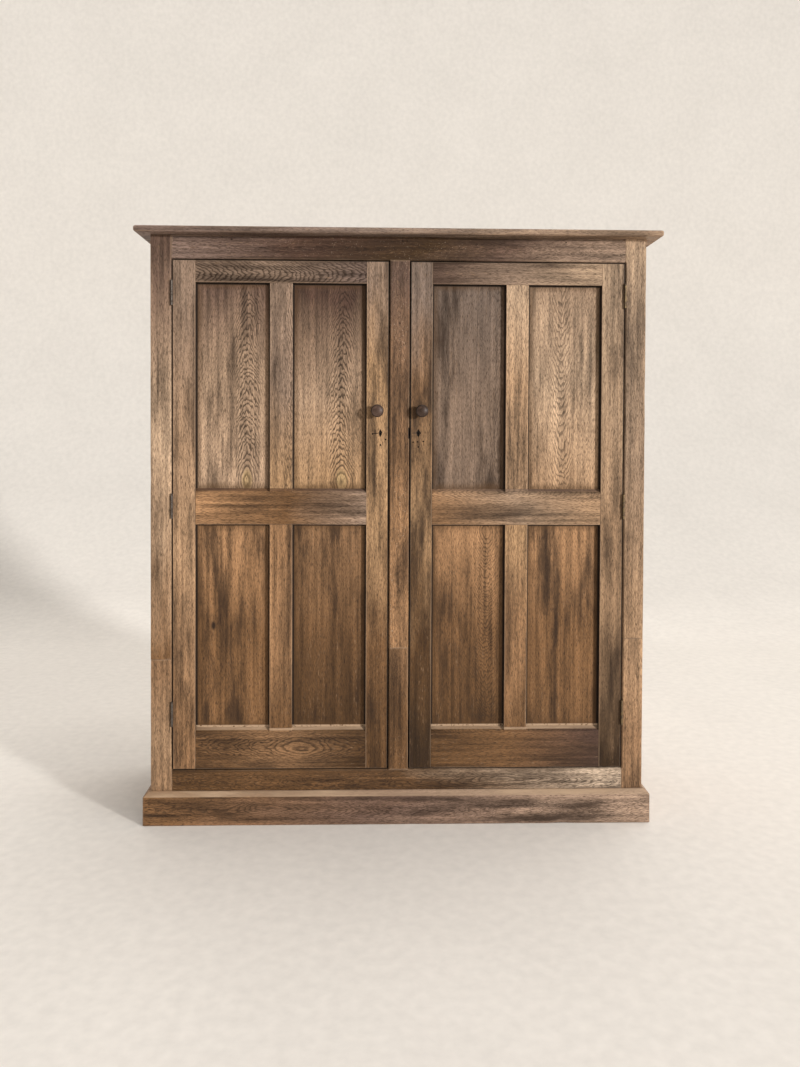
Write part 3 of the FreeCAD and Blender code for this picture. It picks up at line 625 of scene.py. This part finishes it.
def hole_grime_and_shade_material(name):
    """The dark inside of an old hole or crack: grime, with painted shade inside it."""
    tree = Tree(name)
    patch = tree.noise(tree.vector(*tree.place()), 300.0, 2.0)
    tree.feed(tree.shader.inputs["Base Color"], tree.mix(patch, GRIME_AND_SHADE, BLACKENED))
    tree.shader.inputs["Roughness"].default_value = 0.9
    return tree.material


# The tone of the floor and backdrop: a share of the height of the bend between them, and a brightness.
PLASTER_TONES = ((0.0, 0.880), (0.06, 0.745), (0.29, 0.668), (0.66, 0.662), (1.0, 0.690))


def plaster(name, bend_height):
    """The pale floor and backdrop: slightly mottled, and paler on the floor than above it."""
    tree = Tree(name)
    x, y, z = tree.place()
    broad = tree.noise(tree.vector(x, y, z), 2.0, 3.0)
    small = tree.noise(tree.vector(x, y, z), 30.0, 3.0)
    patch = tree.total(1.0, tree.swing(broad, 0.10),
                       tree.swing(small, 0.20))
    stops = [(share, (tone, 0.945 * tone, 0.88 * tone)) for share, tone in PLASTER_TONES]
    colour = tree.ramp(tree.math("DIVIDE", z, bend_height), stops)
    colour = tree.mix(1.0, colour, tree.vector(patch, patch, patch), "MULTIPLY")
    tree.feed(tree.shader.inputs["Base Color"], colour)
    tree.shader.inputs["Roughness"].default_value = 0.95
    tree.shader.inputs["Specular IOR Level"].default_value = 0.1
    return tree.material


# Meshes


def copied_mesh(node):
    """The node's own mesh, cleaned into flat faces, ready to be worn."""
    shape = bmesh.new()
    shape.from_mesh(frame["nodes"][node].data)
    bmesh.ops.remove_doubles(shape, verts=shape.verts, dist=0.002 * MM)
    bmesh.ops.dissolve_limit(shape, angle_limit=math.radians(0.5), verts=shape.verts, edges=shape.edges)
    return shape


def soften_edges(shape, width, segments=2):
    """Round every sharp edge."""
    least_turn = math.radians(25)
    sharp = [edge for edge in shape.edges if edge.is_manifold and edge.calc_face_angle(0) > least_turn]
    bmesh.ops.bevel(shape, geom=sharp, offset=width, offset_type="OFFSET", segments=segments,
                    profile=0.55, affect="EDGES", clamp_overlap=True)


def slice_up(shape, low, high, step):
    """Cut the mesh into a grid, so that it can carry waves and dents."""
    for axis in (X, Y, Z):
        span = high[axis] - low[axis]
        count = int(span / step)
        normal = Vector(1.0 if index == axis else 0.0 for index in range(3))
        for number in range(1, count):
            place = low.copy()
            place[axis] = low[axis] + span * number / count
            everything = shape.verts[:] + shape.edges[:] + shape.faces[:]
            bmesh.ops.bisect_plane(shape, geom=everything, dist=0.01 * MM, plane_co=place,
                                   plane_no=normal)


def wear(shape, low, high, seed, wave, dents):
    """Move the surface inwards: slow waves everywhere, and dents along the edges."""
    shape.normal_update()
    offset = Vector((seed, 2.3 * seed, -seed))
    moves = []
    for vertex in shape.verts:
        point = vertex.co
        gaps = sorted(min(point[axis] - low[axis], high[axis] - point[axis]) for axis in (X, Y, Z))
        slow = 0.5 + 0.5 * noise.noise(point * 4.5 + offset)
        depth = wave * max(0.0, slow)
        if gaps[1] < 4 * MM:
            knock = noise.noise(point * 38.0 + offset)
            depth += dents * max(0.0, knock - 0.15)
        moves.append(depth)
    for vertex, depth in zip(shape.verts, moves):
        vertex.co -= vertex.normal * depth


def finish_piece(shape, name, node, materials, flats=True):
    """Turn the mesh into a piece that stands for its node and rides on its body.

    flats keeps the faces that look along an axis flat, and smooths only the worn edges.
    """
    bmesh.ops.triangulate(shape, faces=[face for face in shape.faces if len(face.verts) > 4])
    bmesh.ops.recalc_face_normals(shape, faces=shape.faces)
    mesh = bpy.data.meshes.new(name)
    shape.to_mesh(mesh)
    shape.free()
    mesh.shade_smooth()
    mesh.set_sharp_from_angle(angle=math.radians(45))
    if flats:
        for face in mesh.polygons:
            face.use_smooth = max(abs(share) for share in face.normal) < 0.995
    for material in materials:
        mesh.materials.append(material)
    piece = bpy.data.objects.new(name, mesh)
    bpy.context.scene.collection.objects.link(piece)
    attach(piece, BODY_OF[node])
    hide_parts(node)
    return piece


def nail_hole(x, z, face, radius=1.5 * MM, depth=5 * MM):
    """A cutter for a small hole going straight in from a face that looks along -y."""
    shape = bmesh.new()
    turned = Matrix.Translation((x, face, z)) @ Matrix.Rotation(math.radians(90), 4, "X")
    bmesh.ops.create_cone(shape, cap_ends=True, segments=9, radius1=0.6 * radius, radius2=radius,
                          depth=2 * depth, matrix=turned)
    return shape


def torn_mouth(x, z, face, half_width, half_height, seed, depth=4 * MM):
    """A cutter for the mouth of a keyhole that has broken away into a ragged diamond."""
    chance = random.Random(seed)
    shape = bmesh.new()
    outer, inner = [], []
    for step in range(12):
        right, up = math.cos(math.radians(30 * step)), math.sin(math.radians(30 * step))
        reach = chance.uniform(0.85, 1.25) / (abs(right) / half_width + abs(up) / half_height)
        outer.append(shape.verts.new((x + reach * right, face - depth, z + reach * up)))
        inner.append(shape.verts.new((x + 0.7 * reach * right, face + depth, z + 0.7 * reach * up)))
    for step in range(12):
        after = (step + 1) % 12
        shape.faces.new((outer[step], outer[after], inner[after], inner[step]))
    shape.faces.new(outer)
    shape.faces.new(reversed(inner))
    bmesh.ops.recalc_face_normals(shape, faces=shape.faces)
    return shape


def slit(start, end, face, width=1.2 * MM, depth=1.5 * MM):
    """A cutter for a crack or scratch of v section, from one (x, z) place on a face to another."""
    shape = bmesh.new()
    line = Vector((end[0] - start[0], 0.0, end[1] - start[1])).normalized()
    side = Vector((-line.z, 0.0, line.x)) * width
    rings = []
    for x, z in (start, end):
        place = Vector((x, face, z))
        corners = (place + side - Vector((0, depth, 0)), place - side - Vector((0, depth, 0)),
                   place + Vector((0, depth, 0)))
        rings.append([shape.verts.new(corner) for corner in corners])
    for index in range(3):
        after = (index + 1) % 3
        shape.faces.new((rings[0][index], rings[0][after], rings[1][after], rings[1][index]))
    shape.faces.new(rings[0])
    shape.faces.new(reversed(rings[1]))
    bmesh.ops.recalc_face_normals(shape, faces=shape.faces)
    return shape


def detail_cutters(node):
    """The holes, cracks and scratches of one board."""
    low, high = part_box(node)
    face = low.y
    if node.endswith("lock_stile"):
        return lock_stile_cutters(node, face)
    if node == "centre_post":
        key = keyhole_place("right")
        strike = slit((high.x - 0.5 * MM, key.z - 17 * MM), (high.x - 0.5 * MM, key.z + 17 * MM), face,
                      7 * MM, 8 * MM)
        return [nail_hole(0.0, 1545 * MM, face, 2.8 * MM), strike,
                slit((-8 * MM, 1630 * MM), (-1 * MM, 1633 * MM), face, 0.8 * MM)]
    if node == "frame_top_rail":
        return [nail_hole(x * MM, 1797 * MM, face, 2.6 * MM) for x in (8, 21, -515, 512)]
    if node == "right_door_upper_inner_panel":
        return [slit((243 * MM, high.z - 4 * MM), (231.5 * MM, low.z + 4 * MM), face, 0.7 * MM, 1.4 * MM)]
    if node == "right_door_lower_inner_panel":
        return [slit((164 * MM, high.z - 4 * MM), (167 * MM, low.z + 4 * MM), face, 0.6 * MM, 1.2 * MM)]
    if node == "plinth_front":
        return [slit((low.x + 2 * MM, 58 * MM), (low.x + 96 * MM, 64 * MM), face, 0.9 * MM, 2 * MM)]
    return []


# How far each keyhole is from the middle of the cupboard, and how high.
KEYHOLE_OUT = 58.5 * MM
KEYHOLE_HEIGHT = 1207 * MM


def keyhole_place(side):
    """The middle of a door's keyhole, at the front of its lock case."""
    low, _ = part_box(f"{side}_lock_case")
    return Vector((-KEYHOLE_OUT if side == "left" else KEYHOLE_OUT, low.y, KEYHOLE_HEIGHT))


def lock_stile_cutters(node, face):
    """The torn mouth of the keyhole, the scratch across it and the holes left by an old escutcheon."""
    side = node.split("_")[0]
    key = keyhole_place(side)
    cutters = [torn_mouth(key.x, key.z, face, 6.5 * MM if side == "left" else 9 * MM, 12 * MM, 5)]
    if side == "left":
        scratch = ((key.x - 22 * MM, key.z - 2 * MM), (key.x - 6 * MM, key.z - 0.5 * MM))
        holes = ((16, -20), (0, -37), (-24, -3))
    else:
        scratch = ((key.x - 19 * MM, key.z), (key.x - 6 * MM, key.z + 0.5 * MM))
        holes = ((-16, -28), (-2.5, -27), (15, -25.5), (0, -42.5))
    cutters.append(slit(*scratch, face, 2.2 * MM, 1.8 * MM))
    for right, up in holes:
        cutters.append(nail_hole(key.x + right * MM, key.z + up * MM, face, 3.3 * MM))
    return cutters


def pierced(shape, cutter, materials):
    """Cut one shape out of another; the cut faces take the second material."""
    solids = []
    for name, source, slots in (("board_blank", shape, materials), ("board_cutter", cutter, materials[1:])):
        mesh = bpy.data.meshes.new(name)
        source.to_mesh(mesh)
        source.free()
        for material in slots:
            mesh.materials.append(material)
        solid = bpy.data.objects.new(name, mesh)
        bpy.context.scene.collection.objects.link(solid)
        solids.append(solid)
    cut = solids[0].modifiers.new("cut", "BOOLEAN")
    cut.object = solids[1]
    cut.operation = "DIFFERENCE"
    cut.solver = "EXACT"
    cut.material_mode = "TRANSFER"
    evaluated = solids[0].evaluated_get(bpy.context.evaluated_depsgraph_get())
    result = bmesh.new()
    result.from_mesh(evaluated.to_mesh())
    evaluated.to_mesh_clear()
    for solid in solids:
        mesh = solid.data
        bpy.data.objects.remove(solid)
        bpy.data.meshes.remove(mesh)
    return result


# How far apart the cuts are that let a board bend, and how deep its slow waves are.
SLICE_STEP = 45 * MM
WAVE_DEPTH = 0.35 * MM


def aged_board(node, hole, edge, dents):
    """A board with softened, dented edges and its own damage, in its own oak."""
    low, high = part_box(node)
    shape = copied_mesh(node)
    soften_edges(shape, edge)
    materials = [oak(node), hole]
    cutters = detail_cutters(node)
    for cutter in cutters:
        shape = pierced(shape, cutter, materials)
    slice_up(shape, low, high, SLICE_STEP)
    wear(shape, low, high, seed_of(node), WAVE_DEPTH, dents)
    return finish_piece(shape, f"worn_{node}", node, materials if cutters else materials[:1])


# A knob's outline: how far it stands off the door, and its radius there, in millimetres.
KNOB_OUTLINE = ((0.0, 13.5), (1.6, 13.8), (2.8, 12.6), (3.4, 10.6), (7.0, 9.2), (11.0, 9.8), (14.0, 12.8),
                (16.5, 16.6), (19.0, 18.9), (21.5, 19.5), (23.6, 19.0), (25.2, 17.8), (26.2, 16.4),
                (26.3, 15.4), (26.1, 14.6), (26.6, 13.6), (28.0, 10.0), (29.3, 5.5), (29.8, 0.0))
# How much wider the rim is than the CAD knob, and how many sides the turned shape has.
KNOB_FULLNESS = 1.03
KNOB_SIDES = 40


def turned_knob(side, material):
    """A knob turned on a lathe, with a collar, a waist, a round rim and a ringed face."""
    node = f"{side}_knob"
    low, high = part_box(node)
    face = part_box(f"{side}_door_lock_stile")[0].y
    middle = (low + high) / 2
    scale = KNOB_FULLNESS * (high.x - low.x) / 2 / max(radius for _, radius in KNOB_OUTLINE)
    shape = bmesh.new()
    rows = []
    for stand, radius in KNOB_OUTLINE[:-1]:
        row = []
        for step in range(KNOB_SIDES):
            turn = math.radians(360 / KNOB_SIDES * step)
            row.append(shape.verts.new((middle.x + scale * radius * math.cos(turn), face - stand * MM,
                                        middle.z + scale * radius * math.sin(turn))))
        rows.append(row)
    tip = shape.verts.new((middle.x, face - KNOB_OUTLINE[-1][0] * MM, middle.z))
    for step in range(KNOB_SIDES):
        after = (step + 1) % KNOB_SIDES
        for lower, upper in zip(rows, rows[1:]):
            shape.faces.new((lower[step], lower[after], upper[after], upper[step]))
        shape.faces.new((rows[-1][step], rows[-1][after], tip))
    shape.faces.new(rows[0])
    return finish_piece(shape, f"turned_{node}", node, [material], flats=False)


# The edge radius and the depth of dents, for most boards and for those that are worn more.
LESS_WORN = (1.0 * MM, 1.4 * MM)
HARD_WORN = {
    "top_board": (1.0 * MM, 3.0 * MM),
    "plinth_front": (2.4 * MM, 3.5 * MM),
    "plinth_left": (2.0 * MM, 2.5 * MM),
    "plinth_right": (2.0 * MM, 2.5 * MM),
    "stile_left": (1.6 * MM, 2.2 * MM),
    "stile_right": (1.6 * MM, 2.2 * MM),
}


def build_boards():
    """Every board of the cupboard."""
    # The cut faces of holes, cracks and keyhole mouths: grime with painted shade.
    hole = hole_grime_and_shade_material("hole_grime_and_shade")
    for node in LOOKS:
        if node in PLAIN_GROUPS:
            dress_node(node, oak(node))
            continue
        edge, dents = HARD_WORN.get(node, LESS_WORN)
        aged_board(node, hole, edge, dents)


def dress_node(node, material, bevel=0.0):
    """Give a CAD node that keeps its shape a better material, and soft edges where it has room."""
    piece = frame["nodes"][node]
    piece.data.materials.clear()
    piece.data.materials.append(material)
    if bevel:
        softening = piece.modifiers.new("soft_edges", "BEVEL")
        softening.width = bevel
        softening.segments = 2
        softening.limit_method = "ANGLE"
        softening.angle_limit = math.radians(35)
        softening.harden_normals = True
    return piece


def build_hardware():
    """Hinges, screws, locks and knobs."""
    steel = metal("aged_steel", (0.13, 0.11, 0.095), (0.06, 0.04, 0.028), 0.55)
    brass = metal("aged_brass", (0.20, 0.14, 0.075), (0.08, 0.05, 0.03), 0.5)
    dark = metal("dark_iron", (0.13, 0.12, 0.11), (0.06, 0.035, 0.02), 0.5)
    for side in SIDES:
        hinge = steel if side == "left" else brass
        dress_node(f"{side}_frame_hinge_leaves", hinge, 0.25 * MM)
        dress_node(f"{side}_door_hinge_leaves", hinge, 0.25 * MM)
        dress_node(f"{side}_door_screws", dark)
        dress_node(f"{side}_lock_case", dark, 0.5 * MM)
        dress_node(f"{side}_lock_bolt", brass, 0.5 * MM)
    dress_node("hinge_pins", steel)
    dress_node("frame_hinge_screws", dark)
    turned_knob("left", turned_wood("knob_wood_left", "left_knob", BISTRE, UMBER))
    turned_knob("right", turned_wood("knob_wood_right", "right_knob", BLACKENED, BISTRE))


# The stage


def build_stage():
    """A pale floor that curves up into a pale backdrop behind the cupboard."""
    reach, rise, gap, bend = 14.0, 9.0, 4.2, 2.6
    wall = CAD_BOX[1].y + gap
    profile = [(-reach, 0.0), (wall - bend, 0.0)]
    steps = 24
    for number in range(1, steps + 1):
        turn = math.radians(90 * number / steps)
        profile.append((wall - bend + bend * math.sin(turn), bend - bend * math.cos(turn)))
    profile.append((wall, rise))
    shape = bmesh.new()
    rows = [[shape.verts.new((side * reach, y, z)) for y, z in profile] for side in (-1, 1)]
    for index in range(len(profile) - 1):
        shape.faces.new((rows[0][index], rows[1][index], rows[1][index + 1], rows[0][index + 1]))
    mesh = bpy.data.meshes.new("backdrop")
    shape.to_mesh(mesh)
    shape.free()
    mesh.shade_smooth()
    mesh.materials.append(plaster("pale_plaster", bend))
    backdrop = bpy.data.objects.new("backdrop", mesh)
    bpy.context.scene.collection.objects.link(backdrop)


# The colour of all the light, a warm white.
DAYLIGHT = (1.0, 0.985, 0.96)


def soft_sun(name, toward, spread, strength):
    """A distant soft light. toward points from the cupboard to the light, and spread is in degrees."""
    data = bpy.data.lights.new(name, "SUN")
    data.angle = math.radians(spread)
    data.energy = strength
    data.color = DAYLIGHT
    light = bpy.data.objects.new(name, data)
    light.rotation_mode = "QUATERNION"
    light.rotation_quaternion = Vector(toward).to_track_quat("Z", "Y")
    bpy.context.scene.collection.objects.link(light)


def build_lights():
    """A low key from the front right, a broad light from nearly straight above, and a pale sky."""
    soft_sun("key", (0.75, -0.65, 0.16), 5.0, 3.05)
    soft_sun("above", (0.26, 0.04, 0.96), 50.0, 1.35)
    world = bpy.data.worlds.new("studio")
    world.use_nodes = True
    sky = world.node_tree.nodes["Background"]
    sky.inputs["Color"].default_value = (*DAYLIGHT, 1.0)
    sky.inputs["Strength"].default_value = 0.345
    bpy.context.scene.world = world


def build_camera():
    """An eye a little left of the centre, as high as the keyholes, looking almost straight on."""
    data = bpy.data.cameras.new("camera")
    data.sensor_width = 36.0
    data.lens = 29.1
    data.shift_y = -0.082
    camera = bpy.data.objects.new("camera", data)
    camera.location = (-0.067, -2.879, 1.215)
    pitch, yaw, roll = -1.03, 1.482, 0.241  # degrees
    camera.rotation_euler = (math.radians(90 + pitch), math.radians(-roll), math.radians(-yaw))
    bpy.context.scene.collection.objects.link(camera)
    bpy.context.scene.camera = camera


build_boards()
build_hardware()
build_stage()
build_lights()
build_camera()
bpy.context.scene.view_settings.view_transform = "Standard"
